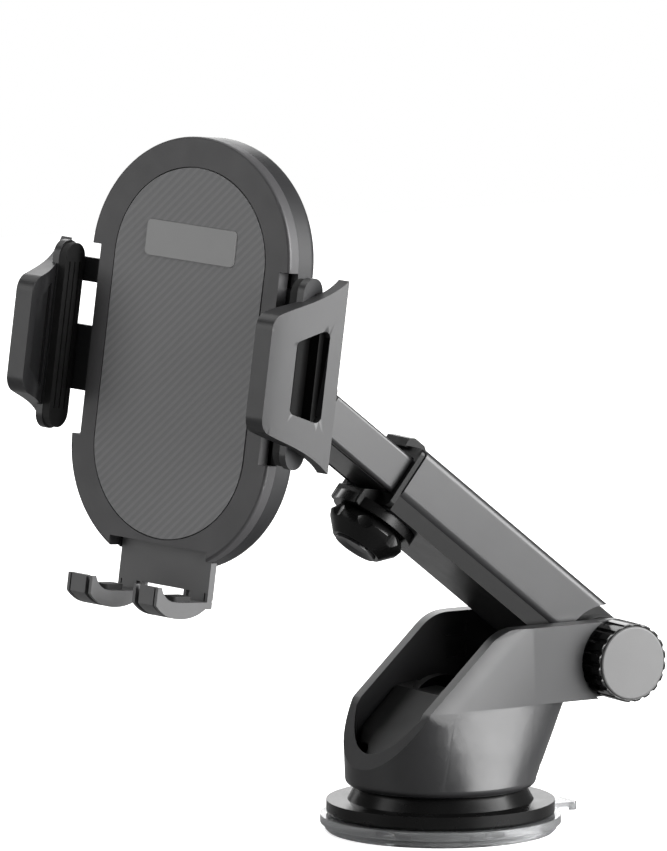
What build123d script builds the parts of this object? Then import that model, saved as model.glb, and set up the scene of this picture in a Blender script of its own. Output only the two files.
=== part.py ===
from build123d import *
from math import atan2, cos, degrees, hypot, pi, radians, sin, sqrt
import os

# Car phone mount: suction base, hinged telescopic arm, ball joint and clamping holder.
# Millimetres. +Z up. Origin: centre of the suction cup's sealing rim, on the plane it grips.
# The pivot knob faces -Y and the arm rises towards -X.

# ---------------------------------------------------------------- driving dimensions
CUP_R = 30.4                # sealing rim of the suction cup
FLANGE_R = 31.6             # visible gel flange under the skirt
FLANGE_LOW = 2.1
FLANGE_TOP = 4.3
CUP_HUB_R = 12.5
CUP_HUB_TOP = 7.6
SKIRT_R = 30.0
SKIRT_TOP = 8.1
NECK_R = 22.4
NECK_TOP = 11.9
SEAM = 0.1                  # joint line between the skirt and the housing

BOWL_R = 25.1               # round lower part of the housing
HOUSING_LOW = NECK_TOP + SEAM
BOWL_LOW = 14.0
BOOM_LOW = 34.4
BOOM_TOP = 54.6
CHEEK_OUT = 21.0            # half width over the two cheeks
CHEEK_IN = 15.7             # half width between the two cheeks
EAR_OUT = 18.0              # outside of the ears behind the knob
FLOOR_TOP = 16.2
SLOPE_FOOT = (-14.9, 34.0)  # lower end of the cheeks' slanted edge, X and Z
SLOPE_HEAD = (4.0, 51.5)
LIP_TOP = 17.3

PIVOT_X = 42.2
PIVOT_Z = 44.2
EAR_R = 10.4
COUNTERBORE_R = 11.7
BOLT_R = 3.0
SHAFT_GAP = 0.06            # running clearance of shafts, on the radius

LEVER_PIN_X = 4.0
LEVER_PIN_Z = 28.5
LEVER_PIN_R = 2.0
LEVER_OUT = 14.6
STEM_R = 3.5
STEM_PIN_R = 1.4
STEM_PIN_Z = 23.0
STEM_TRAVEL = 1.5
LEVER_SWEEP = 75.0

ARM_SLOPE = 38.6            # degrees above the horizontal
TUBE_END_R = 13.6           # the tube's lower end is cut round the pivot
TUBE_MOUTH = 78.3           # distances along the arm start at the pivot
TUBE_OUT = 13.7
TUBE_SIDE_LOW = -3.0
TUBE_LOW = -6.9
TUBE_TOP = 11.6
BORE_OUT = 12.1             # rectangular bore of the tube
BORE_LOW = -5.4
BORE_TOP = 10.0
RAIL_OUT = 11.0             # sliding inner arm
RAIL_LOW = -2.6
RAIL_TOP = 8.0
RAIL_START = 48.0
RAIL_END = 108.4
FIT = 0.2                   # gap round pieces that slide in one another
LOCK_ALONG = 73.5

BALL_ALONG = 134.4
BALL_UP = 1.4
BALL_R = 8.5
NECK_END_R = 3.0
SOCKET_R = 10.4
LIP_ANGLE = 63.5            # where the nut lets go of the ball, degrees from its axis

HOLDER_YAW = -66.7
HOLDER_TILT = 6.2
HOLDER_ROLL = 3.5
PLATE_W = 63.0              # depths in the holder are measured ahead of the ball centre
PLATE_H = 111.0
PLATE_FACE = 24.4
SPLIT = 20.4
BACK = 12.0
PAD_BACK = 8.7              # raised back over the latch
WALL = 2.0
INSERT_W = 47.4
INSERT_H = 95.0
NOTCH_X = 28.5
NOTCH_Z = 24.6
SLIDE_BACK = 17.7           # layer in which the two sliders and the foot run
SLIDE_FRONT = 20.1
RACK_BACK = 15.1            # layer of the pinion and the racks
RACK_FRONT = 17.4
SLIDER_LOW = -13.8
SLIDER_HIGH = 20.4
PHONE_HALF = 35.8           # half width of the phone that the jaws hold at rest
PHONE_LOW = -60.6
PINION_TEETH = 12
MODULE = 1.0
PITCH_R = MODULE * PINION_TEETH / 2
JAW_FRONT = 41.8
JAW_REAR = 18.3
JAW_HALF = 24.6
JAW_PAD_HALF = 23.9
FOOT_HALF = 14.4
LATCH_X = -10.8
LATCH_Z = 24.0
BUTTON_Z = 32.0

# ---------------------------------------------------------------- frames
pivot = Vector(PIVOT_X, 0, PIVOT_Z)
arm_dir = Vector(-cos(radians(ARM_SLOPE)), 0, sin(radians(ARM_SLOPE)))
arm_up = Vector(sin(radians(ARM_SLOPE)), 0, cos(radians(ARM_SLOPE)))
arm_side = Plane(origin=pivot, x_dir=arm_dir, z_dir=(0, 1, 0))
arm_section = Plane(origin=pivot, x_dir=(0, -1, 0), z_dir=arm_dir)
lock_plane = Plane(origin=pivot + arm_dir * LOCK_ALONG, x_dir=arm_dir, z_dir=-arm_up)
lock_axis = Axis(lock_plane.origin, lock_plane.z_dir)
pivot_plane = Plane(origin=pivot, x_dir=(1, 0, 0), z_dir=(0, -1, 0))

ball = pivot + arm_dir * BALL_ALONG + arm_up * BALL_UP
holder_place = Pos(*ball) * Rot(Z=HOLDER_YAW) * Rot(X=-HOLDER_TILT) * Rot(Y=HOLDER_ROLL)
holder = Plane(holder_place)                                    # X right, Y to the back, Z up
holder_face = Plane(origin=ball, x_dir=holder.x_dir, z_dir=-holder.y_dir)
holder_side = Plane(origin=ball, x_dir=-holder.y_dir, z_dir=-holder.x_dir)
holder_middle = Plane(origin=ball, x_dir=holder.y_dir, z_dir=holder.x_dir)
holder_axis = Axis(ball, -holder.y_dir)


def polar(radius, angle):
    """Point at a radius and an angle in degrees."""
    return (radius * cos(radians(angle)), radius * sin(radians(angle)))


def coil(plane, radius, wire_r, pitch, length):
    """Open compression spring that starts on a plane and runs along its normal."""
    with BuildPart() as spring:
        with BuildLine(plane) as path:
            Helix(pitch=pitch, height=length, radius=radius)
        with BuildSketch(Plane(origin=path.line @ 0, z_dir=path.line % 0)):
            Circle(wire_r)
        sweep(is_frenet=True)
    return spring.part


# ---------------------------------------------------------------- suction base
with BuildPart() as suction_cup:
    with BuildSketch(Plane.XZ):
        with BuildLine():
            dome = ThreePointArc((0, 2.0), (14, 1.3), (CUP_R - 4.4, 0))
            rim = Polyline(dome @ 1, (CUP_R - 0.6, 0), (CUP_R, 0.6), (CUP_R, FLANGE_LOW),
                           (FLANGE_R, FLANGE_LOW), (FLANGE_R, FLANGE_TOP))
            Polyline(rim @ 1, (CUP_HUB_R, FLANGE_TOP), (CUP_HUB_R, CUP_HUB_TOP), (4.4, CUP_HUB_TOP),
                     (4.4, 6.3), (8.9, 6.3), (8.9, 3.2), (0, 3.2), (0, 2.0))
        make_face()
    revolve(axis=Axis.Z)
    # pull tab that breaks the seal
    with BuildSketch(Plane.XY.offset(FLANGE_LOW)):
        with Locations((FLANGE_R + 2.7, 0)):
            RectangleRounded(12, 8, 1.5)
    extrude(amount=FLANGE_TOP - FLANGE_LOW)

with BuildPart() as cup_stem:
    with BuildSketch(Plane.XY.offset(5.0)):
        Circle(8.5)
    extrude(amount=1.0)
    with BuildSketch(Plane.XY.offset(6.0)):
        Circle(STEM_R)
    extrude(amount=20.5)
    chamfer(cup_stem.faces().sort_by(Axis.Z)[-1].edges(), 0.5)
    with BuildSketch(Plane.XZ):
        with Locations((0, STEM_PIN_Z)):
            Circle(STEM_PIN_R + 0.02)
    extrude(amount=STEM_R + 1, both=True, mode=Mode.SUBTRACT)

with BuildPart() as stem_pin:
    with BuildSketch(Plane.XZ):
        with Locations((0, STEM_PIN_Z)):
            Circle(STEM_PIN_R)
    extrude(amount=8.4, both=True)

cup_spring = coil(Plane.XY.offset(CUP_HUB_TOP + 0.5), 7.0, 0.45, 1.6, 3.3)

with BuildPart() as base_skirt:
    with BuildSketch(Plane.XZ):
        with BuildLine():
            Polyline((11.5, 9.8), (11.5, NECK_TOP), (NECK_R, NECK_TOP), (24.4, SKIRT_TOP),
                     (SKIRT_R, SKIRT_TOP), (SKIRT_R, FLANGE_TOP + SEAM), (27.6, FLANGE_TOP + SEAM),
                     (27.6, 6.2), (22.4, 6.2), (20.6, 9.8), close=True)
        make_face()
    revolve(axis=Axis.Z)
    fillet(base_skirt.edges().filter_by(GeomType.CIRCLE).sort_by(SortBy.RADIUS)[-1], 0.9)
    # stiffening ribs underneath
    with BuildSketch(Plane.XY.offset(FLANGE_TOP + 0.4)):
        with PolarLocations(17.8, 6, start_angle=30):
            Rectangle(7.6, 1.4)
    extrude(amount=5.3)
    with BuildSketch(Plane.XY.offset(NECK_TOP)):
        with PolarLocations(17.5, 3):
            Circle(1.4)
    extrude(amount=-4, mode=Mode.SUBTRACT)

with BuildPart() as base_screws:
    with BuildSketch(Plane.XY.offset(8.0)):
        with PolarLocations(17.5, 3):
            Circle(2.6)
    extrude(amount=1.75)
    with BuildSketch(Plane.XY.offset(9.75)):
        with PolarLocations(17.5, 3):
            Circle(1.25)
    extrude(amount=5.6)

boom_mid = 4.0
with BuildPart() as base_housing:
    # round foot that grows into the plan of the boom
    with BuildSketch(Plane.XY.offset(BOWL_LOW)):
        Circle(BOWL_R)
    with BuildSketch(Plane.XY.offset(BOOM_LOW)):
        with Locations((boom_mid, 0)):
            RectangleRounded(2 * (BOWL_R + boom_mid), 2 * CHEEK_OUT, 17)
    loft()
    with BuildSketch(Plane.XY.offset(HOUSING_LOW)):
        Circle(BOWL_R)
    extrude(amount=BOWL_LOW - HOUSING_LOW)
    fillet(base_housing.edges().group_by(Axis.Z)[0], 1.9)
    with BuildSketch(Plane.XY.offset(BOOM_LOW)):
        with Locations((boom_mid, 0)):
            RectangleRounded(2 * (BOWL_R + boom_mid), 2 * CHEEK_OUT, 17)
        with Locations((30, 0)):
            Rectangle(52, 2 * CHEEK_OUT)
    extrude(amount=24)
    # side outline: scooped front, slanted cheeks, boom with round end, flared back
    with BuildSketch(Plane.XZ):
        with BuildLine():
            front = Polyline((-27, 10), (-27, LIP_TOP), (-25.5, LIP_TOP), SLOPE_FOOT)
            slant = Line(front @ 1, SLOPE_HEAD)
            crown = TangentArc(slant @ 1, (12.5, BOOM_TOP), tangent=slant % 1)
            top = Line(crown @ 1, (PIVOT_X, BOOM_TOP))
            end = ThreePointArc(top @ 1, (PIVOT_X + EAR_R, PIVOT_Z), (PIVOT_X, PIVOT_Z - EAR_R))
            under = Line(end @ 1, (28.4, BOOM_LOW))
            flare = ThreePointArc(under @ 1, (25.8, 26.5), (BOWL_R + 0.1, 17.5))
            Polyline(flare @ 1, (BOWL_R + 0.1, 10), (-27, 10))
        make_face()
    extrude(amount=30, both=True, mode=Mode.INTERSECT)
    # bevel along the outside of each slanted edge
    slant_dir = Vector(SLOPE_HEAD[0] - SLOPE_FOOT[0], 0, SLOPE_HEAD[1] - SLOPE_FOOT[1]).normalized()
    slant_origin = Vector(SLOPE_FOOT[0], 0, SLOPE_FOOT[1]) - slant_dir * 3
    with BuildSketch(Plane(origin=slant_origin, x_dir=(0, 1, 0), z_dir=slant_dir)):
        with BuildLine():
            Polyline((19.2, 0), (19.2, 3), (24.3, 3), (24.3, -14.2), close=True)
        make_face()
        mirror(about=Plane.YZ)
    extrude(amount=40, mode=Mode.SUBTRACT)
    # open cavity between the cheeks
    with BuildSketch(Plane.XY.offset(FLOOR_TOP)):
        Circle(BOWL_R - 2.5)
        Rectangle(60, 2 * CHEEK_IN, mode=Mode.INTERSECT)
    extrude(amount=50, mode=Mode.SUBTRACT)
    with BuildSketch(Plane.XZ):
        with BuildLine():
            Polyline((0, FLOOR_TOP), (BOWL_R - 2.4, FLOOR_TOP), (23.2, 27.8), (24.8, BOOM_LOW + 2.4),
                     (60, BOOM_LOW + 2.4), (60, 60), (0, 60), close=True)
        make_face()
        with Locations((PIVOT_X, PIVOT_Z)):
            Circle(EAR_R + 0.5)
    extrude(amount=CHEEK_IN, both=True, mode=Mode.SUBTRACT)
    # counterbores round the knob, bolt holes, lever pin holes
    for side in (-1, 1):
        with BuildSketch(Plane.XZ.offset(side * EAR_OUT)):
            with Locations((PIVOT_X, PIVOT_Z)):
                Circle(COUNTERBORE_R)
        extrude(amount=side * 8, mode=Mode.SUBTRACT)
        # moulding pockets inside the cheek
        with BuildSketch(Plane.XZ.offset(side * (CHEEK_IN - 1))):
            with Locations((14.4, 49.8), (14.4, 44.2)):
                Rectangle(6.4, 3.2)
        extrude(amount=side * 1.9, mode=Mode.SUBTRACT)
    with BuildSketch(Plane.XZ):
        with Locations((PIVOT_X, PIVOT_Z)):
            Circle(BOLT_R + SHAFT_GAP)
    extrude(amount=30, both=True, mode=Mode.SUBTRACT)
    with BuildSketch(Plane.XZ):
        with Locations((LEVER_PIN_X, LEVER_PIN_Z)):
            Circle(LEVER_PIN_R + 0.02)
    extrude(amount=18.7, both=True, mode=Mode.SUBTRACT)
    # guide for the cup stem
    with BuildSketch(Plane.XY.offset(FLOOR_TOP - 1)):
        Circle(4.9)
    extrude(amount=3.3)
    with BuildSketch(Plane.XY.offset(HOUSING_LOW)):
        Circle(STEM_R + SHAFT_GAP)
    extrude(amount=8, mode=Mode.SUBTRACT)
    with BuildSketch(Plane.XY.offset(HOUSING_LOW)):
        with PolarLocations(17.5, 3):
            Circle(1.27)
    extrude(amount=3.5, mode=Mode.SUBTRACT)

# ---------------------------------------------------------------- suction lever
# Angles seen along -Y, in the XZ plane. The stem pin runs in a spiral slot of the lever.
slot_start = (degrees(atan2(STEM_PIN_Z - LEVER_PIN_Z, -LEVER_PIN_X)),
              hypot(LEVER_PIN_X, STEM_PIN_Z - LEVER_PIN_Z))
slot_end = (degrees(atan2(STEM_PIN_Z - STEM_TRAVEL - LEVER_PIN_Z, -LEVER_PIN_X)) + LEVER_SWEEP,
            hypot(LEVER_PIN_X, STEM_PIN_Z - STEM_TRAVEL - LEVER_PIN_Z))
slot_mid = ((slot_start[0] + slot_end[0]) / 2, (slot_start[1] + slot_end[1]) / 2)
slot_path = ThreePointArc(polar(slot_start[1], slot_start[0]), polar(slot_mid[1], slot_mid[0]),
                          polar(slot_end[1], slot_end[0])).edge()
PADDLE_TIP = (-21.0, 20.8)
PADDLE_HEAD = (-6.5, 34.8)

with BuildPart() as suction_lever:
    with BuildSketch(Plane.XZ):
        with BuildLine():
            Polyline((1.5, 37.4), (-4.8, 36.6), PADDLE_HEAD, PADDLE_TIP, (-20.6, 18.6), (-18.6, 18.6),
                     (-3.5, 32.4), (1.5, 34.4), close=True)
        make_face()
    extrude(amount=LEVER_OUT, both=True)
    with BuildSketch(Plane.XY):
        Circle(20.8)
        with Locations((10, 0)):
            Rectangle(20, 40)
    extrude(amount=60, mode=Mode.INTERSECT)
    # finger scallops in the free edge
    paddle_dir = Vector(PADDLE_TIP[0] - PADDLE_HEAD[0], 0, PADDLE_TIP[1] - PADDLE_HEAD[1]).normalized()
    with BuildSketch(Plane(origin=(PADDLE_TIP[0], 0, PADDLE_TIP[1]), x_dir=(0, 1, 0),
                           z_dir=paddle_dir.cross(Vector(0, 1, 0)))):
        with Locations((-7.6, 0), (7.6, 0)):
            Circle(3.6)
    extrude(amount=12, both=True, mode=Mode.SUBTRACT)
    # two cam plates on the lever pin
    for side in (-1, 1):
        with BuildSketch(Plane.XZ.offset(side * 5.2)):
            with Locations((LEVER_PIN_X, LEVER_PIN_Z)):
                Circle(11.3)
                Circle(LEVER_PIN_R + SHAFT_GAP, mode=Mode.SUBTRACT)
                SlotArc(slot_path, 2 * (STEM_PIN_R + 0.35), mode=Mode.SUBTRACT)
        extrude(amount=side * 3)

with BuildPart() as lever_pin:
    with BuildSketch(Plane.XZ):
        with Locations((LEVER_PIN_X, LEVER_PIN_Z)):
            Circle(LEVER_PIN_R)
    extrude(amount=18.5, both=True)

# ---------------------------------------------------------------- arm pivot
KNOB_BACK = EAR_OUT + 0.4
KNOB_FRONT = 27.0
CAP_R = 9.65
with BuildPart() as pivot_knob:
    with BuildSketch(pivot_plane.offset(KNOB_BACK)):
        Circle(EAR_R)
        with PolarLocations(EAR_R + 0.5, 20):
            Circle(0.95, mode=Mode.SUBTRACT)
    extrude(amount=KNOB_FRONT - KNOB_BACK)
    with BuildSketch(pivot_plane.offset(KNOB_FRONT)):
        Circle(CAP_R + SHAFT_GAP)
    extrude(amount=-0.9, mode=Mode.SUBTRACT)
    with BuildSketch(pivot_plane.offset(21.0)):
        RegularPolygon(5.05, 6, major_radius=False)
    extrude(amount=4.1, mode=Mode.SUBTRACT)
    with BuildSketch(pivot_plane.offset(KNOB_BACK)):
        Circle(BOLT_R + 0.02)
    extrude(amount=3, mode=Mode.SUBTRACT)

with BuildPart() as pivot_knob_cap:
    with BuildSketch(pivot_plane.offset(KNOB_FRONT - 0.88)):
        Circle(CAP_R)
    extrude(amount=1.4)
    fillet(pivot_knob_cap.faces().sort_by(Axis.Y)[0].edges(), 0.5)

with BuildPart() as pivot_bolt:
    with BuildSketch(pivot_plane.offset(21.05)):
        RegularPolygon(5.0, 6, major_radius=False)
    extrude(amount=4.0)
    with BuildSketch(pivot_plane.offset(21.05)):
        Circle(BOLT_R)
    extrude(amount=-43.5)

with BuildPart() as pivot_end_cap:
    with BuildSketch(pivot_plane.offset(-EAR_OUT - 0.05)):
        Circle(EAR_R)
    extrude(amount=-6.0)
    fillet(pivot_end_cap.faces().sort_by(Axis.Y)[-1].edges(), 1.2)
    with BuildSketch(pivot_plane.offset(-EAR_OUT - 0.05)):
        RegularPolygon(5.05, 6, major_radius=False)
    extrude(amount=-4.6, mode=Mode.SUBTRACT)

with BuildPart() as pivot_nut:
    with BuildSketch(pivot_plane.offset(-EAR_OUT - 0.1)):
        RegularPolygon(5.0, 6, major_radius=False)
        Circle(BOLT_R + SHAFT_GAP, mode=Mode.SUBTRACT)
    extrude(amount=-4.4)

with BuildPart() as friction_washers:
    for side in (-1, 1):
        with BuildSketch(pivot_plane.offset(side * 14.75)):
            Circle(9)
            Circle(BOLT_R + SHAFT_GAP, mode=Mode.SUBTRACT)
        extrude(amount=side * 0.9)

with BuildPart() as arm_knuckle:
    with BuildSketch(pivot_plane):
        Circle(EAR_R - 0.2)
    extrude(amount=14.6, both=True)
    with BuildSketch(arm_section):
        with Locations((0, (BORE_LOW + BORE_TOP) / 2)):
            Rectangle(2 * BORE_OUT - 0.1, BORE_TOP - BORE_LOW - 0.1)
    extrude(amount=19.5)
    with BuildSketch(pivot_plane):
        Circle(BOLT_R + SHAFT_GAP)
    extrude(amount=20, both=True, mode=Mode.SUBTRACT)

# ---------------------------------------------------------------- telescopic arm
CAGE_START = 66.0
CAGE_WALL_GAP = 0.05
with BuildPart() as outer_tube:
    with BuildSketch(arm_section.offset(5)) as tube_outline:
        with Locations((0, (TUBE_SIDE_LOW + TUBE_TOP) / 2)):
            Rectangle(2 * TUBE_OUT, TUBE_TOP - TUBE_SIDE_LOW)
        fillet(tube_outline.vertices().group_by(Axis.Z)[-1], 2.2)
        # narrower lower band
        with Locations((0, (TUBE_LOW + TUBE_SIDE_LOW) / 2 + 0.5)):
            Rectangle(2 * (TUBE_OUT - 0.8), TUBE_SIDE_LOW - TUBE_LOW + 1)
        with Locations((0, (BORE_LOW + BORE_TOP) / 2)):
            Rectangle(2 * BORE_OUT, BORE_TOP - BORE_LOW, mode=Mode.SUBTRACT)
    extrude(amount=TUBE_MOUTH - 5)
    with BuildSketch(arm_side):
        Circle(TUBE_END_R)
    extrude(amount=TUBE_OUT + 1, both=True, mode=Mode.SUBTRACT)
    with BuildSketch(lock_plane.offset(-BORE_LOW - 1)):
        Circle(2.6)
    extrude(amount=4, mode=Mode.SUBTRACT)

with BuildPart() as collar:
    # cage inside the tube's mouth
    with BuildSketch(arm_section.offset(CAGE_START)):
        with Locations((0, (BORE_LOW + BORE_TOP) / 2)):
            Rectangle(2 * (BORE_OUT - CAGE_WALL_GAP), BORE_TOP - BORE_LOW - 2 * CAGE_WALL_GAP)
    extrude(amount=TUBE_MOUTH + CAGE_WALL_GAP - CAGE_START)
    # flange over the mouth
    with BuildSketch(arm_section.offset(TUBE_MOUTH + CAGE_WALL_GAP)):
        with Locations((0, 2.3)):
            RectangleRounded(26.4, 17.8, 1.6)
    extrude(amount=1.5)
    # stop block on top
    with BuildSketch(arm_side):
        with BuildLine():
            Polyline((74.6, TUBE_TOP + 0.05), (TUBE_MOUTH + 0.05, TUBE_TOP + 0.05),
                     (TUBE_MOUTH + 0.05, 10.4), (80.8, 10.4), (80.8, 12.9), (79.4, 13.9),
                     (75.8, 13.9), (74.6, 13.1), close=True)
        make_face()
    extrude(amount=5.5, both=True)
    # disc under the tube and the nose that carries it
    with BuildSketch(lock_plane.offset(-TUBE_LOW + 0.05)):
        Circle(11.6)
        with Locations((6.5, 0)):
            RectangleRounded(9, 13, 1)
    extrude(amount=2.75)
    with BuildSketch(arm_side):
        with BuildLine():
            Polyline((TUBE_MOUTH + 0.05, -3.2), (80.8, -3.2), (84.4, -5.4), (84.4, -9.4),
                     (TUBE_MOUTH + 0.05, -9.4), close=True)
        make_face()
    extrude(amount=6.5, both=True)
    # window for the sliding arm
    with BuildSketch(arm_section.offset(CAGE_START)):
        with Locations((0, (RAIL_LOW + RAIL_TOP) / 2)):
            Rectangle(2 * (RAIL_OUT + FIT), RAIL_TOP - RAIL_LOW + 2 * FIT)
    extrude(amount=24, mode=Mode.SUBTRACT)
    # brake pad pocket, screw hole and nut pocket
    with BuildSketch(lock_plane.offset(-RAIL_LOW)):
        Rectangle(7.2, 8.2)
    extrude(amount=2.05, mode=Mode.SUBTRACT)
    with BuildSketch(lock_plane.offset(-RAIL_LOW)):
        Circle(2.05)
    extrude(amount=10, mode=Mode.SUBTRACT)
    with BuildSketch(lock_plane.offset(-TUBE_LOW)):
        RegularPolygon(3.55, 6, major_radius=False)
    extrude(amount=2.3, mode=Mode.SUBTRACT)

with BuildPart() as lock_nut:
    with BuildSketch(lock_plane.offset(-TUBE_LOW + 0.05)):
        RegularPolygon(3.5, 6, major_radius=False)
        Circle(2.04, mode=Mode.SUBTRACT)
    extrude(amount=2.2)

with BuildPart() as brake_pad:
    with BuildSketch(lock_plane.offset(-RAIL_LOW + 0.05)):
        Rectangle(7, 8)
    extrude(amount=1.95)

KNOB_NEAR = 9.9
KNOB_FAR = 17.2
with BuildPart() as lock_knob:
    with BuildSketch(Plane(origin=lock_plane.origin, x_dir=arm_dir, z_dir=(0, -1, 0))):
        with BuildLine():
            Polyline((0, KNOB_NEAR), (9.4, KNOB_NEAR), (10.8, 12.2), (10.2, 13.6), (7.0, KNOB_FAR),
                     (0, KNOB_FAR), close=True)
        make_face()
    revolve(axis=lock_axis)
    with BuildSketch(lock_plane.offset(KNOB_NEAR)):
        with PolarLocations(14.3, 7):
            Circle(4.4)
    extrude(amount=KNOB_FAR - KNOB_NEAR, mode=Mode.SUBTRACT)
    with BuildSketch(lock_plane.offset(KNOB_FAR)):
        Circle(5.9)
    extrude(amount=-1.0, mode=Mode.SUBTRACT)
    with BuildSketch(lock_plane.offset(KNOB_FAR)):
        RegularPolygon(3.55, 6, major_radius=False)
    extrude(amount=-4.2, mode=Mode.SUBTRACT)
    with BuildSketch(lock_plane.offset(KNOB_NEAR)):
        Circle(2.02)
    extrude(amount=4, mode=Mode.SUBTRACT)

with BuildPart() as lock_knob_cap:
    with BuildSketch(lock_plane.offset(KNOB_FAR - 0.98)):
        Circle(5.85)
    extrude(amount=1.6)
    # dished face
    with BuildSketch(lock_plane.offset(KNOB_FAR + 0.62)):
        Circle(5.3)
    with BuildSketch(lock_plane.offset(KNOB_FAR - 0.1)):
        Circle(3.2)
    loft(mode=Mode.SUBTRACT)

with BuildPart() as lock_screw:
    with BuildSketch(lock_plane.offset(KNOB_FAR - 4.15)):
        RegularPolygon(3.5, 6, major_radius=False)
    extrude(amount=3.0)
    with BuildSketch(lock_plane.offset(4.65)):
        Circle(2.0)
    extrude(amount=KNOB_FAR - 4.15 - 4.65)

with BuildPart() as inner_arm:
    with BuildSketch(arm_section.offset(RAIL_START)):
        with Locations((0, (RAIL_LOW + RAIL_TOP) / 2)):
            RectangleRounded(2 * RAIL_OUT, RAIL_TOP - RAIL_LOW, 1.0)
        # two grooves along the underside
        with Locations((-9.0, RAIL_LOW), (9.0, RAIL_LOW)):
            Rectangle(1.2, 1.6, mode=Mode.SUBTRACT)
    extrude(amount=RAIL_END - RAIL_START)
    with BuildSketch(arm_section.offset(RAIL_START)):
        with Locations((0, (RAIL_LOW + RAIL_TOP) / 2)):
            Rectangle(2 * RAIL_OUT - 3.2, RAIL_TOP - RAIL_LOW - 3.2)
    extrude(amount=RAIL_END - RAIL_START, mode=Mode.SUBTRACT)

with BuildPart() as inner_arm_guide:
    with BuildSketch(arm_section.offset(RAIL_START - 2.5)):
        with Locations((0, (BORE_LOW + BORE_TOP) / 2)):
            Rectangle(2 * (BORE_OUT - 0.1), BORE_TOP - BORE_LOW - 0.2)
    extrude(amount=2.45)
    with BuildSketch(arm_section.offset(RAIL_START - 0.05)):
        with Locations((0, (RAIL_LOW + RAIL_TOP) / 2)):
            Rectangle(2 * RAIL_OUT - 3.3, RAIL_TOP - RAIL_LOW - 3.3)
    extrude(amount=6)

HINGE_POINT = (113.1, 5.9)
stud_foot = pivot + arm_dir * HINGE_POINT[0] + arm_up * HINGE_POINT[1]
stud_dir = (stud_foot - ball).normalized()
stud_plane = Plane(origin=ball, x_dir=(0, 1, 0), z_dir=stud_dir)
with BuildPart() as ball_stud:
    with BuildSketch(arm_section.offset(RAIL_END - 6)):
        with Locations((0, (RAIL_LOW + RAIL_TOP) / 2)):
            Rectangle(2 * RAIL_OUT - 3.3, RAIL_TOP - RAIL_LOW - 3.3)
    extrude(amount=6.05)
    with BuildSketch(arm_section.offset(RAIL_END + 0.05)):
        with Locations((0, (RAIL_LOW + RAIL_TOP) / 2)):
            RectangleRounded(2 * RAIL_OUT, RAIL_TOP - RAIL_LOW, 1.0)
    extrude(amount=1.6)
    with BuildSketch(arm_side):
        with Locations(HINGE_POINT):
            Circle(4.5)
    extrude(amount=RAIL_OUT, both=True)
    with BuildSketch(stud_plane.offset((stud_foot - ball).length)):
        Circle(4.3)
    with BuildSketch(stud_plane.offset(NECK_END_R)):
        Circle(NECK_END_R)
    loft()
    with Locations(Pos(*ball)):
        Sphere(BALL_R)

# ---------------------------------------------------------------- ball joint
def shell(inner, outer, half_angle):
    """Cup-shaped shell ahead of the ball, as a face in the holder's middle plane."""
    with BuildSketch(holder_side) as face:
        with BuildLine():
            edge = radians(half_angle)
            mid = edge / 2
            ThreePointArc((inner, 0), (inner * cos(mid), inner * sin(mid)),
                          (inner * cos(edge), inner * sin(edge)))
            Line((inner * cos(edge), inner * sin(edge)), (outer * cos(edge), outer * sin(edge)))
            ThreePointArc((outer * cos(edge), outer * sin(edge)),
                          (outer * cos(mid), outer * sin(mid)), (outer, 0))
            Line((outer, 0), (inner, 0))
        make_face()
    return face.sketch


with BuildPart() as friction_cup:
    add(shell(BALL_R + 0.08, 9.4, 40))
    revolve(axis=holder_axis)

with BuildPart() as pressure_disc:
    add(shell(9.48, SOCKET_R - 0.08, 40))
    revolve(axis=holder_axis)

NUT_FRONT = 8.4
NUT_R = 16.5
with BuildPart() as ring_nut:
    with BuildSketch(holder_side):
        with BuildLine():
            lip = radians(LIP_ANGLE)
            seat = BALL_R + 0.08
            rim_x = sqrt(seat ** 2 - 0.8 ** 2)
            Polyline((-0.8, rim_x), (-0.8, 12.7), (NUT_FRONT, 12.7), (NUT_FRONT, NUT_R), (0, NUT_R),
                     (-5, 12.4), (-5, 10.0), (-seat * cos(lip), seat * sin(lip)))
            ThreePointArc((-seat * cos(lip), seat * sin(lip)), (-seat * cos(radians(75)),
                          seat * sin(radians(75))), (-0.8, rim_x))
        make_face()
    revolve(axis=holder_axis)
    with BuildSketch(holder_face.offset(-0.1)):
        with PolarLocations(NUT_R + 0.6, 24):
            Circle(1.1)
    extrude(amount=NUT_FRONT + 0.2, mode=Mode.SUBTRACT)

# ---------------------------------------------------------------- holder shells
SCREW_X = 20.0
SCREW_Z = 38.0
screw_spots = [(x, z) for x in (-SCREW_X, SCREW_X) for z in (-SCREW_Z, SCREW_Z)]

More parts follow.
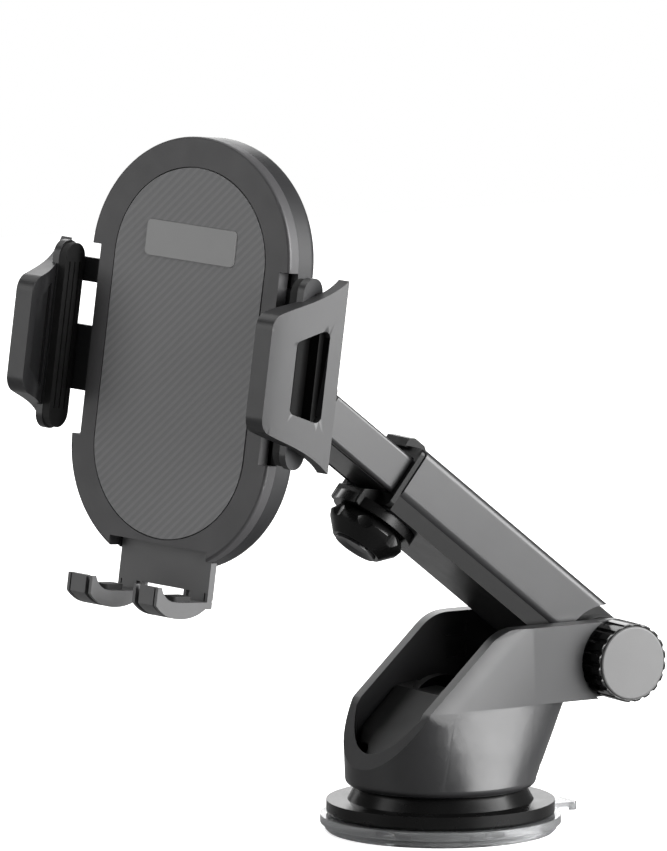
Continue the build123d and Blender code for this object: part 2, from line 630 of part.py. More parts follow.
with BuildPart() as rear_housing:
    with BuildSketch(holder_face.offset(BACK)):
        SlotOverall(PLATE_H, PLATE_W, rotation=90)
    extrude(amount=SPLIT - BACK)
    fillet(rear_housing.faces().sort_by(holder_axis)[0].edges(), 3)
    with BuildSketch(holder_face.offset(BACK + WALL)):
        SlotOverall(PLATE_H - 2 * WALL, PLATE_W - 2 * WALL, rotation=90)
    extrude(amount=SPLIT - BACK, mode=Mode.SUBTRACT)
    # raised back over the latch
    with BuildSketch(holder_face.offset(PAD_BACK)):
        with Locations((0, 10)):
            RectangleRounded(32, 60, 4)
    extrude(amount=BACK + 0.5 - PAD_BACK)
    with BuildSketch(holder_face.offset(PAD_BACK + WALL)):
        with Locations((0, 10)):
            RectangleRounded(28, 56, 2)
    extrude(amount=BACK + WALL - PAD_BACK, mode=Mode.SUBTRACT)
    # ball socket
    with BuildSketch(holder_face.offset(-0.5)):
        Circle(12.6)
    extrude(amount=BACK + WALL + 0.5)
    with BuildSketch(holder_side):
        with BuildLine():
            Polyline((SOCKET_R, 0), (-1, 0), (-1, SOCKET_R), (0, SOCKET_R))
            ThreePointArc((0, SOCKET_R), polar(SOCKET_R, 45), (SOCKET_R, 0))
        make_face()
    revolve(axis=holder_axis, mode=Mode.SUBTRACT)
    with BuildSketch(holder_face.offset(BACK)):
        Circle(1.62)
    extrude(amount=4, mode=Mode.SUBTRACT)
    # openings for the sliders, the foot and the button
    with BuildSketch(holder_face.offset(SLIDE_BACK - FIT)):
        with Locations((0, (SLIDER_HIGH + SLIDER_LOW) / 2)):
            Rectangle(PLATE_W + 4, SLIDER_HIGH - SLIDER_LOW + 0.8)
        with Locations((0, -PLATE_H / 2)):
            Rectangle(2 * FOOT_HALF + 0.6, 16)
    extrude(amount=10, mode=Mode.SUBTRACT)
    with BuildSketch(holder_face.offset(PAD_BACK - 1)):
        with Locations((0, BUTTON_Z)):
            RectangleRounded(12.3, 8.3, 2.1)
    extrude(amount=WALL + 2, mode=Mode.SUBTRACT)
    # screw posts
    with BuildSketch(holder_face.offset(BACK + 1.7)):
        with Locations(*screw_spots):
            Circle(3.2)
    extrude(amount=SPLIT - BACK - 1.7)
    with BuildSketch(holder_face.offset(BACK)):
        with Locations(*screw_spots):
            Circle(2.45)
    extrude(amount=1.7, mode=Mode.SUBTRACT)
    with BuildSketch(holder_face.offset(BACK)):
        with Locations(*screw_spots):
            Circle(1.15)
    extrude(amount=SPLIT - BACK, mode=Mode.SUBTRACT)
    # bearing ribs of the pawl
    with BuildSketch(holder_face.offset(PAD_BACK + WALL - 0.3)):
        with Locations((LATCH_X - 3.1, LATCH_Z), (LATCH_X + 3.1, LATCH_Z)):
            Rectangle(1.4, 4)
    extrude(amount=4.2)
    with BuildSketch(holder_side):
        with Locations((13.4, LATCH_Z)):
            Circle(0.82)
    extrude(amount=-LATCH_X + 3.9, mode=Mode.SUBTRACT)

with BuildPart() as housing_screws:
    with BuildSketch(holder_face.offset(BACK + 0.05)):
        with Locations(*screw_spots):
            Circle(2.4)
    extrude(amount=1.6)
    with BuildSketch(holder_face.offset(BACK + 1.65)):
        with Locations(*screw_spots):
            Circle(1.1)
    extrude(amount=SPLIT + 2.2 - BACK - 1.65)

with BuildPart() as front_plate:
    with BuildSketch(holder_face.offset(SPLIT + 0.05)):
        SlotOverall(PLATE_H, PLATE_W, rotation=90)
    extrude(amount=PLATE_FACE - SPLIT - 0.05)
    fillet(front_plate.faces().sort_by(holder_axis)[-1].edges(), 0.8)
    # side notches into which the jaws close, and the gap over the foot
    with BuildSketch(holder_face.offset(SPLIT)):
        with Locations((NOTCH_X + 5, 0), (-NOTCH_X - 5, 0)):
            Rectangle(10, 2 * NOTCH_Z)
        with Locations((0, -PLATE_H / 2)):
            Rectangle(31, 13.4)
    extrude(amount=PLATE_FACE - SPLIT, mode=Mode.SUBTRACT)
    with BuildSketch(holder_face.offset(PLATE_FACE - 1)):
        SlotOverall(INSERT_H + 0.6, INSERT_W + 0.6, rotation=90)
    extrude(amount=2, mode=Mode.SUBTRACT)
    with BuildSketch(holder_face.offset(SPLIT)):
        with Locations(*screw_spots):
            Circle(1.12)
    extrude(amount=2.3, mode=Mode.SUBTRACT)
    with BuildSketch(holder_face.offset(SPLIT)):
        Circle(1.62)
    extrude(amount=1.6, mode=Mode.SUBTRACT)

with BuildPart() as front_insert:
    with BuildSketch(holder_face.offset(PLATE_FACE - 0.98)):
        SlotOverall(INSERT_H, INSERT_W, rotation=90)
    extrude(amount=1.1)
    with BuildSketch(holder_face.offset(PLATE_FACE - 0.4)):
        with Locations((0, 28.4)):
            RectangleRounded(28.5, 9.3, 1.25)
    extrude(amount=2, mode=Mode.SUBTRACT)

with BuildPart() as badge_plate:
    with BuildSketch(holder_face.offset(PLATE_FACE - 0.38)):
        with Locations((0, 28.4)):
            RectangleRounded(28.4, 9.2, 1.2)
    extrude(amount=0.75)

# ---------------------------------------------------------------- clamp drive
ADDENDUM = 0.9
DEDENDUM = 1.2
TOOTH_PITCH = pi * MODULE

with BuildPart() as pinion:
    with BuildSketch(holder_face.offset(RACK_BACK)):
        Circle(PITCH_R - DEDENDUM)
        with PolarLocations(PITCH_R - DEDENDUM - 0.4, PINION_TEETH):
            Polygon((0, -1.0), (1.6, -0.62), (2.5, -0.28), (2.5, 0.28), (1.6, 0.62), (0, 1.0),
                    align=None)
        Circle(1.6 + SHAFT_GAP, mode=Mode.SUBTRACT)
    extrude(amount=RACK_FRONT - RACK_BACK)

with BuildPart() as pinion_pin:
    with BuildSketch(holder_face.offset(BACK + 0.1)):
        Circle(1.6)
    extrude(amount=SPLIT + 1.5 - BACK - 0.1)

SLIDER_START = 12.0         # distances from the holder's middle
SLIDER_END = 41.6
RACK_START = -20.0
RACK_END = 19.0             # clear of the housing's side wall with the jaw fully out
RACK_IN = PITCH_R + DEDENDUM
RACK_OUT = 12.5
RACK_TIP = PITCH_R - ADDENDUM
SCREW_AT = [(39.4, 17.3), (39.4, -6.0)]     # jaw screws, distance from the middle and height


def slider(side, rack_side):
    """Jaw slider on one side of the holder, with its rack above or below the pinion."""
    tooth_side = side * rack_side
    with BuildPart() as made:
        with BuildSketch(holder_face.offset(SLIDE_BACK)):
            with Locations((side * (SLIDER_END + SLIDER_START) / 2, (SLIDER_HIGH + SLIDER_LOW) / 2)):
                RectangleRounded(SLIDER_END - SLIDER_START, SLIDER_HIGH - SLIDER_LOW, 0.8)
            with Locations((side * 34.5, 8.6)):
                RectangleRounded(10, 11.2, 1.2, mode=Mode.SUBTRACT)
            with Locations(*[(side * x, z) for x, z in SCREW_AT]):
                Circle(0.95, mode=Mode.SUBTRACT)
        extrude(amount=SLIDE_FRONT - SLIDE_BACK)
        with BuildSketch(holder_face.offset(SLIDE_BACK)):
            with Locations(*[(side * x, z) for x, z in SCREW_AT]):
                Circle(1.75)
        extrude(amount=1.2, mode=Mode.SUBTRACT)
        with BuildSketch(holder_face.offset(RACK_BACK)):
            with Locations((side * (RACK_START + RACK_END) / 2, rack_side * (RACK_IN + RACK_OUT) / 2)):
                Rectangle(RACK_END - RACK_START, RACK_OUT - RACK_IN)
            for step in range(-4, 6):
                with Locations((tooth_side * rack_side * (step - 0.5) * TOOTH_PITCH, 0)):
                    Polygon((-0.98, rack_side * (RACK_IN + 0.1)), (-0.64, rack_side * PITCH_R),
                            (-0.3, rack_side * RACK_TIP), (0.3, rack_side * RACK_TIP),
                            (0.64, rack_side * PITCH_R), (0.98, rack_side * (RACK_IN + 0.1)),
                            align=None)
        extrude(amount=RACK_FRONT - RACK_BACK)
        # step that carries the rack on the plate
        with BuildSketch(holder_face.offset(RACK_BACK)):
            with Locations((side * (SLIDER_START + RACK_END) / 2,
                            rack_side * (RACK_IN + RACK_OUT) / 2)):
                Rectangle(RACK_END - SLIDER_START, RACK_OUT - RACK_IN)
        extrude(amount=SLIDE_FRONT - RACK_BACK)
    return made.part


with BuildPart() as left_slider:
    add(slider(-1, 1))
    # latch notches along the back of the rack
    with BuildSketch(holder_face.offset(RACK_BACK)):
        with GridLocations(1.6, 1, 12, 1):
            with Locations((-8, 11.2)):
                Rectangle(0.8, 2.6)
    extrude(amount=0.6, mode=Mode.SUBTRACT)

with BuildPart() as right_slider:
    add(slider(1, -1))

# ---------------------------------------------------------------- jaws
JAW_REAR_Y = -JAW_REAR
outer_points = [(40.8, -42.2), (41.2, -36.5), (43.0, -27.5), (46.2, -17.9)]
inner_points = [(42.7, -17.9), (38.2, -30.0), (35.9, -36.0), (35.7, -42.2)]
POCKET_FLOOR = 39.0

with BuildPart() as jaw_hollow:
    # deep window in the outside of the wing, with a flat floor behind the pad's plate
    with BuildSketch(holder.offset(-JAW_HALF)):
        with Locations((POCKET_FLOOR + 10, -27)):
            Rectangle(20, 14)
    extrude(amount=2 * JAW_HALF)
    with BuildSketch(holder_middle) as window:
        with BuildLine():
            Polyline((-32, -9.7), (-22, -12.2), (-22, 12.2), (-32, 8.3), close=True)
        make_face()
        fillet(window.vertices(), 1.6)
    extrude(amount=60, mode=Mode.INTERSECT)

with BuildPart() as jaw_inside:
    # shallow tray on the inside of the wing, ahead of the phone's edge
    with BuildSketch(holder.offset(-JAW_HALF)):
        with BuildLine():
            Polyline((30, -39.6), (36.5, -39.6), (36.8, -36.0), (38.6, -31.2), (30, -31.2), close=True)
        make_face()
    extrude(amount=2 * JAW_HALF)
    with BuildSketch(holder_middle) as tray:
        with BuildLine():
            Polyline((-39.6, -8.4), (-31.4, -14.2), (-31.4, 14.2), (-39.6, 8.4), close=True)
        make_face()
        fillet(tray.vertices(), 1.0)
    extrude(amount=60, mode=Mode.INTERSECT)

with BuildPart() as right_jaw:
    with BuildSketch(holder.offset(-JAW_HALF - 1)):
        with BuildLine():
            outside = Spline(*outer_points)
            inside = Spline(*inner_points)
            Line(outside @ 1, inside @ 0)
            Line(inside @ 1, outside @ 0)
        make_face()
    extrude(amount=2 * JAW_HALF + 2)
    # outline from the side, depth against height
    with BuildSketch(holder_middle):
        with BuildLine():
            low = Spline((-38.4, -15.3), (-33, -17.0), (-27.5, -18.9), (JAW_REAR_Y, -JAW_HALF))
            high = Spline((JAW_REAR_Y, JAW_HALF), (-27.5, 18.9), (-33, 17.0), (-38.4, 15.3))
            Line(low @ 1, high @ 0)
            nose = ThreePointArc(high @ 1, (-40.8, 13.8), (-JAW_FRONT, 10.9))
            Line(nose @ 1, (-JAW_FRONT, -10.9))
            ThreePointArc((-JAW_FRONT, -10.9), (-40.8, -13.8), low @ 0)
        make_face()
    extrude(amount=60, mode=Mode.INTERSECT)
    add(jaw_hollow.part, mode=Mode.SUBTRACT)
    add(jaw_inside.part, mode=Mode.SUBTRACT)
    # plate behind the pad and block on the slider
    with BuildSketch(Plane(origin=ball + holder.x_dir * 38, x_dir=holder.y_dir, z_dir=holder.x_dir)):
        with Locations((-24.9, 0)):
            RectangleRounded(8.2, 48.8, 4.0)
    extrude(amount=2)
    with BuildSketch(holder_face.offset(SLIDE_FRONT + 0.05)):
        with Locations((40.4, (SLIDER_HIGH + SLIDER_LOW) / 2)):
            Rectangle(4.8, SLIDER_HIGH - SLIDER_LOW)
    extrude(amount=3.9)
    with BuildSketch(holder_face.offset(SLIDE_FRONT)):
        with Locations(*SCREW_AT):
            Circle(0.92)
    extrude(amount=3.2, mode=Mode.SUBTRACT)

with BuildPart() as left_jaw:
    mirror(right_jaw.part, about=Plane(origin=ball, z_dir=holder.x_dir))

with BuildPart() as jaw_screws_right:
    with BuildSketch(holder_face.offset(SLIDE_BACK + 0.05)):
        with Locations(*SCREW_AT):
            Circle(1.7)
    extrude(amount=1.1)
    with BuildSketch(holder_face.offset(SLIDE_BACK + 1.15)):
        with Locations(*SCREW_AT):
            Circle(0.9)
    extrude(amount=4.1)

with BuildPart() as jaw_screws_left:
    mirror(jaw_screws_right.part, about=Plane(origin=ball, z_dir=holder.x_dir))

with BuildPart() as right_pad:
    with BuildSketch(Plane(origin=ball + holder.x_dir * PHONE_HALF, x_dir=holder.y_dir,
                           z_dir=holder.x_dir)):
        with Locations((-24.9, 0)):
            RectangleRounded(8, 2 * JAW_PAD_HALF, 3.9)
    extrude(amount=38 - PHONE_HALF - 0.02)
    # grip grooves along the phone's edge
    with BuildSketch(Plane(origin=ball + holder.x_dir * PHONE_HALF, x_dir=holder.y_dir,
                           z_dir=holder.x_dir)):
        with Locations((-27.0, 0), (-24.9, 0), (-22.8, 0)):
            Rectangle(0.5, 38)
    extrude(amount=0.4, mode=Mode.SUBTRACT)

with BuildPart() as left_pad:
    mirror(right_pad.part, about=Plane(origin=ball, z_dir=holder.x_dir))

# ---------------------------------------------------------------- foot
FOOT_LIP = 41.6
LIP_HEIGHT = -58.0
hook_slices = [(-13.2, 4.6), (-14.4, 0.8), (-7.4, 0.8), (8.6, 4.6), (6.6, 0.8), (13.6, 0.8)]

with BuildPart() as foot:
    with BuildSketch(holder_face.offset(SLIDE_BACK)):
        with Locations((0, -44.7)):
            RectangleRounded(2 * FOOT_HALF, 30, 0.6)
    extrude(amount=SLIDE_FRONT - SLIDE_BACK)
    # bar of each hook and its two side ribs, by left edge and width
    for left_edge, width in hook_slices:
        with BuildSketch(holder_side.offset(-left_edge)):
            with BuildLine():
                under = Spline((SLIDE_BACK, -61.5), (22, -64.6), (30, -66.2), (37, -65.2),
                               (FOOT_LIP, -62.6))
                lip = Polyline(under @ 1, (FOOT_LIP, LIP_HEIGHT), (FOOT_LIP - 1.6, LIP_HEIGHT))
                seat = Spline(lip @ 1, (37.2, -60.9), (33.0, -61.9), (28.0, -62.0))
                Polyline(seat @ 1, (SLIDE_FRONT, -62.0), (SLIDE_FRONT, -57), (SLIDE_BACK, -57),
                         (SLIDE_BACK, -61.5))
            make_face()
        extrude(amount=-width)
    # web between bar and ribs
    with BuildSketch(holder_face.offset(SLIDE_BACK)):
        with Locations((-10.5, -62.9), (10.5, -62.9)):
            Rectangle(7.6, 1.8)
    extrude(amount=21.0)

with BuildPart() as foot_pads:
    for side in (-1, 1):
        with BuildSketch(holder.offset(-61.95)):
            with Locations((side * 10.9, -28.4)):
                RectangleRounded(4.2, 7.4, 1.2)
        extrude(amount=-61.95 * -1 + PHONE_LOW)

# ---------------------------------------------------------------- latch
with BuildPart() as pawl:
    with BuildSketch(holder_face.offset(12.6)):
        with Locations((LATCH_X, 22.2)):
            Rectangle(4.4, 24.2)
        with Locations((LATCH_X + 4.8, BUTTON_Z + 0.8)):
            Rectangle(14, 3.0)
    extrude(amount=1.6)
    with BuildSketch(holder_face.offset(14.2)):
        with Locations((LATCH_X, 11.3)):
            Rectangle(4.4, 2.2)
    extrude(amount=0.7, taper=12)
    with BuildSketch(holder_side.offset(-LATCH_X - 2.2)):
        with Locations((13.4, LATCH_Z)):
            Circle(1.6)
    extrude(amount=4.4)
    with BuildSketch(holder_side.offset(-LATCH_X - 3)):
        with Locations((13.4, LATCH_Z)):
            Circle(0.8 + SHAFT_GAP)
    extrude(amount=6, mode=Mode.SUBTRACT)

with BuildPart() as pawl_pin:
    with BuildSketch(holder_side.offset(-LATCH_X - 3.7)):
        with Locations((13.4, LATCH_Z)):
            Circle(0.8)
    extrude(amount=7.4)

with BuildPart() as release_button:
    with BuildSketch(holder_face.offset(7.3)):
        with Locations((0, BUTTON_Z)):
            RectangleRounded(12, 8, 2)
    extrude(amount=4.0)
    fillet(release_button.faces().sort_by(holder_axis)[0].edges(), 0.8)
    with BuildSketch(holder_face.offset(11.0)):
        with Locations((0, BUTTON_Z)):
            RectangleRounded(14.4, 9.8, 2)
    extrude(amount=1.4)

parts = {
    "suction_cup": suction_cup.part,
    "cup_stem": cup_stem.part,
    "stem_pin": stem_pin.part,
    "cup_spring": cup_spring,
    "base_skirt": base_skirt.part,
    "base_screws": base_screws.part,
    "base_housing": base_housing.part,
    "suction_lever": suction_lever.part,
    "lever_pin": lever_pin.part,
    "pivot_knob": pivot_knob.part,
    "pivot_knob_cap": pivot_knob_cap.part,
    "pivot_bolt": pivot_bolt.part,
    "pivot_end_cap": pivot_end_cap.part,
    "pivot_nut": pivot_nut.part,
    "friction_washers": friction_washers.part,
    "arm_knuckle": arm_knuckle.part,
    "outer_tube": outer_tube.part,
    "collar": collar.part,
    "lock_nut": lock_nut.part,
    "brake_pad": brake_pad.part,
    "lock_knob": lock_knob.part,
    "lock_knob_cap": lock_knob_cap.part,
    "lock_screw": lock_screw.part,
    "inner_arm": inner_arm.part,
    "inner_arm_guide": inner_arm_guide.part,
    "ball_stud": ball_stud.part,
    "friction_cup": friction_cup.part,
    "pressure_disc": pressure_disc.part,
    "ring_nut": ring_nut.part,
    "rear_housing": rear_housing.part,
    "front_plate": front_plate.part,
    "front_insert": front_insert.part,
    "badge_plate": badge_plate.part,
    "housing_screws": housing_screws.part,
    "pinion": pinion.part,
    "pinion_pin": pinion_pin.part,
    "left_slider": left_slider.part,
    "right_slider": right_slider.part,
    "left_jaw": left_jaw.part,
    "right_jaw": right_jaw.part,
    "left_jaw_screws": jaw_screws_left.part,
    "right_jaw_screws": jaw_screws_right.part,
    "left_pad": left_pad.part,
    "right_pad": right_pad.part,
    "foot": foot.part,
    "foot_pads": foot_pads.part,
    "pawl": pawl.part,
    "pawl_pin": pawl_pin.part,
    "release_button": release_button.part,
}
os.makedirs("parts", exist_ok=True)
for name, shape in parts.items():
    shape.label = name
    export_step(shape, f"parts/{name}.step")
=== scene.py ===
from math import cos, pi, radians, sin

import bpy
from mathutils import Matrix, Vector

# Looks of a dashboard phone holder. Metres, in the frame of the CAD part.
MM = 0.001

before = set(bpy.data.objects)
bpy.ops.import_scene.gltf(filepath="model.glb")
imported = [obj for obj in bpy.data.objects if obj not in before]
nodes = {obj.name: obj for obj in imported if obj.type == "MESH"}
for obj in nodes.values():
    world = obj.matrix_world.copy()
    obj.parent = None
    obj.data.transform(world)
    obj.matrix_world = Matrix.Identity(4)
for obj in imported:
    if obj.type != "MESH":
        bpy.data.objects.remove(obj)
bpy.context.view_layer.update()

# ------------------------------------------------------------------ places and directions
PIVOT = Vector((42.2, 0, 44.2)) * MM
BALL_ALONG = 134.4 * MM     # ball's centre from the pivot, along the arm and across it
BALL_UP = 1.4 * MM
ARM_SLOPE = radians(38.6)
ARM_DIR = Vector((-cos(ARM_SLOPE), 0, sin(ARM_SLOPE)))
ARM_UP = Vector((sin(ARM_SLOPE), 0, cos(ARM_SLOPE)))
BALL = PIVOT + ARM_DIR * BALL_ALONG + ARM_UP * BALL_UP
HOLDER = (Matrix.Rotation(radians(-66.7), 4, "Z") @ Matrix.Rotation(radians(-6.2), 4, "X")
          @ Matrix.Rotation(radians(3.5), 4, "Y"))
H_RIGHT = (HOLDER @ Vector((1, 0, 0))).normalized()
H_BACK = (HOLDER @ Vector((0, 1, 0))).normalized()
H_UP = (HOLDER @ Vector((0, 0, 1))).normalized()


# ------------------------------------------------------------------ materials
class Shader:
    """A Principled material and short ways to wire its nodes."""

    def __init__(self, name, base, rough, **sockets):
        self.mat = bpy.data.materials.new(name)
        self.mat.use_nodes = True
        self.tree = self.mat.node_tree
        self.bsdf = self.tree.nodes["Principled BSDF"]
        self.bsdf.inputs["Base Color"].default_value = (*base, 1)
        self.bsdf.inputs["Roughness"].default_value = rough
        for key, value in sockets.items():
            self.bsdf.inputs[key.replace("_", " ")].default_value = value
        self.place = self.node("ShaderNodeTexCoord").outputs["Object"]

    def node(self, kind, **props):
        made = self.tree.nodes.new(kind)
        for key, value in props.items():
            setattr(made, key, value)
        return made

    def link(self, source, target):
        self.tree.links.new(source, target)

    def noise(self, scale, detail=3.0, stretch=None):
        made = self.node("ShaderNodeTexNoise")
        made.inputs["Scale"].default_value = scale
        made.inputs["Detail"].default_value = detail
        source = self.place
        if stretch:
            mapping = self.node("ShaderNodeMapping")
            mapping.inputs["Scale"].default_value = stretch
            self.link(self.place, mapping.inputs["Vector"])
            source = mapping.outputs["Vector"]
        self.link(source, made.inputs["Vector"])
        return made.outputs["Fac"]

    def ramp(self, fac, low, high, start=0.3, end=0.7):
        made = self.node("ShaderNodeValToRGB")
        first, last = made.color_ramp.elements
        first.position, last.position = start, end
        first.color, last.color = (*low, 1), (*high, 1)
        self.link(fac, made.inputs["Fac"])
        return made.outputs["Color"]

    def spread(self, fac, low, high):
        made = self.node("ShaderNodeMapRange")
        made.inputs["To Min"].default_value = low
        made.inputs["To Max"].default_value = high
        self.link(fac, made.inputs["Value"])
        return made.outputs["Result"]

    def math(self, operation, first, second=0.0):
        made = self.node("ShaderNodeMath", operation=operation)
        for socket, value in zip(made.inputs, (first, second)):
            if isinstance(value, (int, float)):
                socket.default_value = value
            else:
                self.link(value, socket)
        return made.outputs[0]

    def along(self, direction):
        """Distance of a point along a direction, in millimetres."""
        dot = self.node("ShaderNodeVectorMath", operation="DOT_PRODUCT")
        self.link(self.place, dot.inputs[0])
        dot.inputs[1].default_value = Vector(direction) / MM
        return dot.outputs["Value"]

    def bump(self, height, distance, strength=1.0, below=None):
        made = self.node("ShaderNodeBump")
        made.inputs["Distance"].default_value = distance * MM
        made.inputs["Strength"].default_value = strength
        self.link(height, made.inputs["Height"])
        if below:
            self.link(below, made.inputs["Normal"])
        return made.outputs["Normal"]

    def finish(self, color=None, rough=None, normal=None):
        for source, name in ((color, "Base Color"), (rough, "Roughness"), (normal, "Normal")):
            if source is not None:
                self.link(source, self.bsdf.inputs[name])
        return self.mat


def moulded(name, low, high, rough, grain=0.012, spread=0.06, **sockets):
    """Moulded plastic: faint cloudiness, fine spark-eroded grain and uneven gloss."""
    shader = Shader(name, high, rough, **sockets)
    cloud = shader.noise(38, 4)
    grit = shader.noise(2600, 2)
    color = shader.ramp(cloud, low, high)
    gloss = shader.spread(shader.noise(160, 3), rough - spread, rough + spread)
    normal = shader.bump(grit, grain, 0.5)
    return shader.finish(color, gloss, normal)


RIB_PITCH = 1.75            # millimetres
THREAD_PITCH = 0.6


def twill(name):
    """Insert with soft raised diagonal ribs and fine cross threads."""
    shader = Shader(name, (0.1, 0.1, 0.1), 0.5)
    across_ribs = (H_RIGHT * 0.72 - H_UP * 0.69).normalized()
    along_ribs = (H_RIGHT * 0.69 + H_UP * 0.72).normalized()
    rib = shader.math("SINE", shader.math("MULTIPLY", shader.along(across_ribs), 2 * pi / RIB_PITCH))
    thread = shader.math("SINE", shader.math("MULTIPLY", shader.along(along_ribs), 2 * pi / THREAD_PITCH))
    weave = shader.math("ADD", rib, shader.math("MULTIPLY", thread, 0.12))
    mottled = shader.math("ADD", weave, shader.math("MULTIPLY", shader.noise(700, 3), 0.6))
    color = shader.ramp(shader.spread(mottled, 0.25, 0.75),
                        (0.18, 0.18, 0.183), (0.225, 0.225, 0.228))
    grit = shader.bump(shader.noise(2400, 2), 0.01, 0.5)
    ribs = shader.bump(weave, 0.012, 0.6, below=grit)
    return shader.finish(color, shader.spread(mottled, 0.5, 0.56), ribs)


def gel(name):
    """Clear grey suction gel with faint clouds."""
    shader = Shader(name, (0.7, 0.71, 0.72), 0.12, Transmission_Weight=0.85, IOR=1.42)
    cloud = shader.noise(45, 3)
    color = shader.ramp(cloud, (0.6, 0.61, 0.62), (0.82, 0.83, 0.84))
    ripples = shader.bump(shader.noise(90, 2), 0.03, 0.5)
    return shader.finish(color, shader.spread(cloud, 0.08, 0.2), ripples)


def brushed(name, base, direction):
    """Turned or drawn steel with lines along one direction."""
    shader = Shader(name, base, 0.3, Metallic=1.0)
    stretch = [40 if abs(part) > 0.5 else 900 for part in direction]
    lines = shader.noise(1.0, 3, stretch)
    color = shader.ramp(lines, [part * 0.75 for part in base], base)
    return shader.finish(color, shader.spread(lines, 0.22, 0.4), shader.bump(lines, 0.01, 0.4))


def rubber(name, value):
    """Matte elastomer with a dusty surface."""
    shader = Shader(name, (value, value, value), 0.75)
    dust = shader.noise(300, 5)
    color = shader.ramp(dust, (value * 0.8,) * 3, (value * 1.6,) * 3)
    return shader.finish(color, shader.spread(dust, 0.65, 0.85), shader.bump(shader.noise(1900, 3), 0.03))


BODY = moulded("body_plastic", (0.019, 0.019, 0.02), (0.026, 0.026, 0.027), 0.36)
SHELL = moulded("plate_plastic", (0.046, 0.045, 0.047), (0.056, 0.055, 0.057), 0.44, grain=0.016)
BACK = moulded("shell_plastic", (0.016, 0.016, 0.017), (0.021, 0.021, 0.022), 0.42, grain=0.018)
TUBE = moulded("tube_plastic", (0.022, 0.022, 0.023), (0.03, 0.03, 0.031), 0.32)
DARK = moulded("dark_plastic", (0.003, 0.003, 0.003), (0.005, 0.005, 0.005), 0.26, Specular_IOR_Level=0.22)
# near-black, dull plastic: painted shade on the floor and walls of the jaws' windows and on the sides of
# the tube's lower band; on the suction lever it is the lever's own black, made duller as painted shade of
# its cavity
BLACK_AND_PAINTED_SHADE = moulded("black_and_painted_shade", (0.003, 0.003, 0.003), (0.004, 0.004, 0.004), 0.4, Specular_IOR_Level=0.15)
SHINE = moulded("gloss_plastic", (0.003, 0.003, 0.003), (0.005, 0.005, 0.005), 0.14, grain=0.002,
                spread=0.03, Specular_IOR_Level=0.35)
CAP = moulded("cap_plastic", (0.1, 0.1, 0.1), (0.12, 0.12, 0.12), 0.42, grain=0.01)
FOOT = moulded("foot_plastic", (0.09, 0.09, 0.091), (0.105, 0.105, 0.106), 0.42)
BADGE = moulded("badge_plastic", (0.27, 0.27, 0.27), (0.29, 0.29, 0.29), 0.36, grain=0.006)
POM = moulded("acetal", (0.5, 0.49, 0.46), (0.58, 0.57, 0.54), 0.38)
TWILL = twill("twill_insert")
GEL = gel("suction_gel")
STEEL = brushed("turned_steel", (0.55, 0.55, 0.56), (0, 1, 0))
PAD = rubber("pad_rubber", 0.008)

LOOKS = {
    "suction_cup": GEL, "cup_stem": POM, "stem_pin": STEEL, "cup_spring": STEEL,
    "base_skirt": DARK, "base_screws": STEEL, "base_housing": BODY, "suction_lever": BLACK_AND_PAINTED_SHADE,
    "lever_pin": STEEL, "pivot_knob": SHINE, "pivot_knob_cap": CAP, "pivot_bolt": STEEL,
    "pivot_end_cap": BODY, "pivot_nut": STEEL, "friction_washers": STEEL, "arm_knuckle": DARK,
    "outer_tube": TUBE, "collar": DARK, "lock_nut": STEEL, "brake_pad": PAD, "lock_knob": DARK,
    "lock_knob_cap": BODY, "lock_screw": STEEL, "inner_arm": TUBE, "inner_arm_guide": POM,
    "ball_stud": DARK, "friction_cup": POM, "pressure_disc": POM, "ring_nut": DARK,
    "rear_housing": BACK, "front_plate": SHELL, "front_insert": TWILL, "badge_plate": BADGE,
    "housing_screws": STEEL, "pinion": POM, "pinion_pin": STEEL, "left_slider": BODY,
    "right_slider": BODY, "left_jaw": BODY, "right_jaw": BODY, "left_jaw_screws": STEEL,
    "right_jaw_screws": STEEL, "left_pad": PAD, "right_pad": PAD, "foot": FOOT,
    "foot_pads": PAD, "pawl": POM, "pawl_pin": STEEL, "release_button": BODY,
}
# radius of the moulded edges in millimetres; other nodes keep crisp edges
EDGES = {
    "base_housing": 0.45, "base_skirt": 0.3, "suction_lever": 0.5, "pivot_knob": 0.22,
    "pivot_end_cap": 0.2, "outer_tube": 0.3, "collar": 0.3, "lock_knob": 0.4, "inner_arm": 0.25,
    "ball_stud": 0.3, "ring_nut": 0.3, "front_plate": 0.22, "front_insert": 0.15,
    "badge_plate": 0.15, "left_slider": 0.25, "right_slider": 0.25, "left_jaw": 0.5,
    "right_jaw": 0.5, "foot": 0.25, "release_button": 0.2, "left_pad": 0.4, "right_pad": 0.4,
    "foot_pads": 0.25, "arm_knuckle": 0.3, "suction_cup": 0.25,
}


def soften(obj, radius):
    """Rounded edges on a CAD node, as modifiers."""
    weld = obj.modifiers.new("weld", "WELD")
    weld.merge_threshold = 0.002 * MM
    bevel = obj.modifiers.new("edges", "BEVEL")
    bevel.width = radius * MM
    bevel.segments = 2
    bevel.limit_method = "ANGLE"
    bevel.angle_limit = radians(32)
    bevel.use_clamp_overlap = True
    smooth = obj.modifiers.new("normals", "WEIGHTED_NORMAL")
    smooth.keep_sharp = False


def paint_shade(obj, inside):
    """Painted shade: a second, near-black plastic on the faces whose centres are inside a region."""
    obj.data.materials.append(BLACK_AND_PAINTED_SHADE)
    for face in obj.data.polygons:
        if inside(face.center):
            face.material_index = 1


# A jaw's window, from the ball's centre. The wing's outside slopes outwards towards the back.
WINDOW_FLOOR = 38.9 * MM
WINDOW_FRONT = -32.2 * MM
WINDOW_REAR = -21.8 * MM
WINDOW_HALF = 12.4 * MM
WING_SLOPE = 0.28
WING_OUT = 50.2 * MM        # just under the wing's outside, at the depth of the ball
TUBE_BAND_TOP = -3.1 * MM   # top of the tube's narrower lower band, from the pivot
TUBE_BORE_SIDE = 12.2 * MM


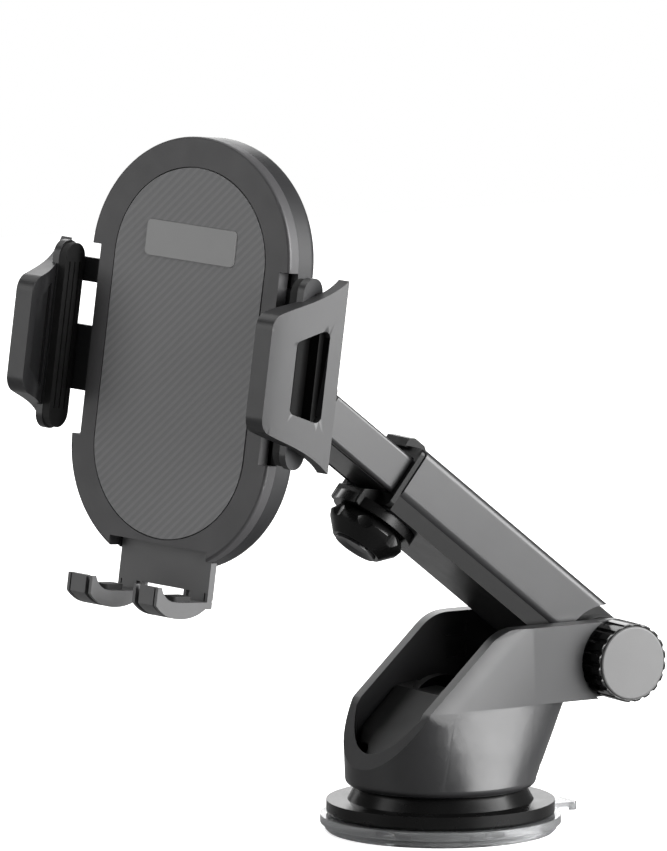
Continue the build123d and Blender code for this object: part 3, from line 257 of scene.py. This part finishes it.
def in_window(place):
    """True on the floor and walls of a jaw's window, where shade is painted."""
    away = place - BALL
    out, back, up = abs(away.dot(H_RIGHT)), away.dot(H_BACK), away.dot(H_UP)
    between_sides = WINDOW_FRONT < back < WINDOW_REAR and abs(up) < WINDOW_HALF
    return between_sides and out > WINDOW_FLOOR and out - WING_SLOPE * back < WING_OUT


def under_tube_side(place):
    """True on the sides of the tube's narrower lower band, where shade is painted."""
    return (place - PIVOT).dot(ARM_UP) < TUBE_BAND_TOP and abs(place.y) > TUBE_BORE_SIDE


for name, look in LOOKS.items():
    obj = nodes[name]
    obj.data.materials.clear()
    obj.data.materials.append(look)
    if name in EDGES:
        soften(obj, EDGES[name])
# painted shade: the near-black plastic on the floor and walls of each jaw's window
for name in ("left_jaw", "right_jaw"):
    paint_shade(nodes[name], in_window)
# painted shade: the near-black plastic on the sides of the tube's narrower lower band
paint_shade(nodes["outer_tube"], under_tube_side)

# ------------------------------------------------------------------ floor, light and camera
CENTRE = Vector((-0.02, 0, 0.09))    # point that the softboxes face


def panel(name, place, size, power):
    """Rectangular softbox that the camera itself doesn't see."""
    data = bpy.data.lights.new(name, "AREA")
    data.shape = "RECTANGLE"
    data.size, data.size_y = size
    data.energy = power
    lamp = bpy.data.objects.new(name, data)
    lamp.visible_camera = False
    bpy.context.collection.objects.link(lamp)
    lamp.location = place
    lamp.rotation_euler = (Vector(place) - CENTRE).to_track_quat("Z", "Y").to_euler()


FLOOR_HALF = 1.3
FLOOR_DIM = 0.28            # floor's and surroundings' share of white in light and reflections
WORLD_DIM = 0.12
FLOOR_LIFT = 0.75           # keeps the lit floor white to the camera
floor_mesh = bpy.data.meshes.new("floor")
floor_mesh.from_pydata([(-FLOOR_HALF, -FLOOR_HALF, 0), (FLOOR_HALF, -FLOOR_HALF, 0),
                        (FLOOR_HALF, FLOOR_HALF, 0), (-FLOOR_HALF, FLOOR_HALF, 0)], [],
                       [(0, 1, 2, 3)])
floor = bpy.data.objects.new("floor", floor_mesh)
bpy.context.collection.objects.link(floor)
floor_look = Shader("floor_paint", (0.93, 0.93, 0.93), 0.6)
# pale to the camera, grey in reflections so that the undersides stay dark
sight = floor_look.node("ShaderNodeLightPath").outputs["Is Camera Ray"]
tint = floor_look.math("MULTIPLY", floor_look.spread(floor_look.noise(3, 2), 0.92, 0.94),
                       floor_look.spread(sight, FLOOR_DIM, 1.0))
floor_look.bsdf.inputs["Emission Color"].default_value = (1, 1, 1, 1)
floor_look.link(floor_look.math("MULTIPLY", sight, FLOOR_LIFT),
                floor_look.bsdf.inputs["Emission Strength"])
floor_mesh.materials.append(floor_look.finish(tint))

world = bpy.data.worlds.new("studio")
bpy.context.scene.world = world
world.use_nodes = True
backdrop = world.node_tree.nodes["Background"]
backdrop.inputs["Color"].default_value = (1, 1, 1, 1)
# white to the camera, dimmer as a light
rays = world.node_tree.nodes.new("ShaderNodeLightPath")
dim = world.node_tree.nodes.new("ShaderNodeMapRange")
dim.inputs["To Min"].default_value = WORLD_DIM
dim.inputs["To Max"].default_value = 1.0
world.node_tree.links.new(rays.outputs["Is Camera Ray"], dim.inputs["Value"])
world.node_tree.links.new(dim.outputs["Result"], backdrop.inputs["Strength"])

panel("key", (0.66, -0.88, 0.34), (1.3, 0.75), 38)
panel("side", (-1.1, 0.3, 0.42), (0.7, 0.8), 4)
panel("back", (0.35, 1.25, 0.6), (1.2, 0.8), 8)
panel("top", (-0.1, 0.3, 1.3), (1.2, 1.0), 7)

# camera: direction from the object, place and lens
AZIMUTH = radians(-30.87)
ELEVATION = radians(7.46)
CAMERA_PLACE = Vector((-1.2271, -1.9981, 0.4136))
toward = Vector((sin(AZIMUTH) * cos(ELEVATION), -cos(AZIMUTH) * cos(ELEVATION), sin(ELEVATION)))
right = Vector((cos(AZIMUTH), sin(AZIMUTH), 0))
upward = toward.cross(right)
camera_data = bpy.data.cameras.new("camera")
camera_data.lens = 383.75
camera_data.sensor_width = 36
camera = bpy.data.objects.new("camera", camera_data)
bpy.context.collection.objects.link(camera)
axes = Matrix((right, upward, toward)).transposed().to_4x4()
camera.matrix_world = Matrix.Translation(CAMERA_PLACE) @ axes
bpy.context.scene.camera = camera
bpy.context.scene.view_settings.view_transform = "Standard"
